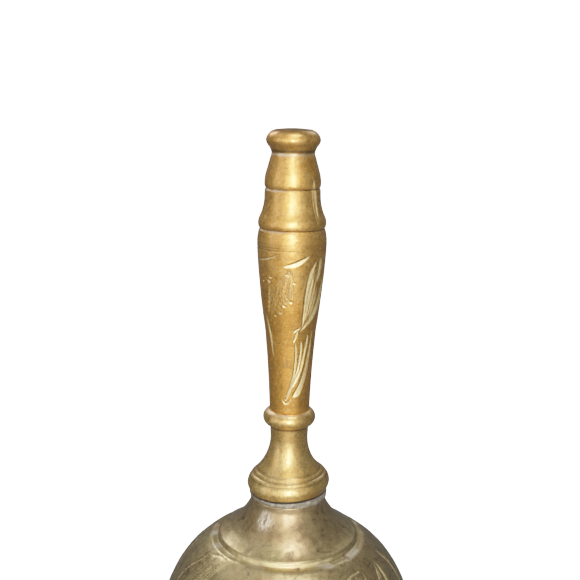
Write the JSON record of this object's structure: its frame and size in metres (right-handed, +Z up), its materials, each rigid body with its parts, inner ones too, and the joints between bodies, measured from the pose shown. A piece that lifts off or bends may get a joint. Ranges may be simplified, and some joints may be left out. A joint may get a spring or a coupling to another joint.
{
  "type": "hand bell",
  "caption": "Flared brass hand bell with a turned, chased handle and a ball clapper that swings from an eye bolt inside the cup.",
  "frame": {"origin": "centre of the mouth, on the plane that the bell stands on", "axes": "+Z up along the bell's and the handle's common axis, from the mouth to the pommel; the eye of the bolt lies in the XZ plane"},
  "size_m": [0.0904, 0.0904, 0.168],
  "materials": {
    "bell_brass": "aged cast brass, olive brown, with chased leaves",
    "foot_brass": "aged turned brass, yellow brown",
    "grip_brass": "hand-worn turned brass, orange brown, with chased leaves",
    "solder": "dull grey soft solder with dried polish",
    "steel": "dull steel with light rust",
    "iron": "dark wrought iron wire with rust",
    "ball_brass": "tarnished turned brass"
  },
  "bodies": {
    "bell": {"bell_cup": "bell_brass", "handle_foot": "foot_brass", "handle_grip": "grip_brass", "joint_filler": "solder", "eye_bolt": "steel", "crown_washer": "steel", "crown_nut": "steel"},
    "link": {"clapper_link": "iron"},
    "clapper": {"clapper_rod": "iron", "clapper_ball": "ball_brass"}
  },
  "joints": [
    {"name": "link_sway", "type": "hinge", "parent": "bell", "child": "link", "pos_m": [0, 0, 0.0535], "axis": [1, 0, 0], "range_deg": [-12, 12]},
    {"name": "clapper_swing", "type": "hinge", "parent": "link", "child": "clapper", "pos_m": [0, 0, 0.04745], "axis": [0, 1, 0], "range_deg": [-40, 40]}
  ]
}
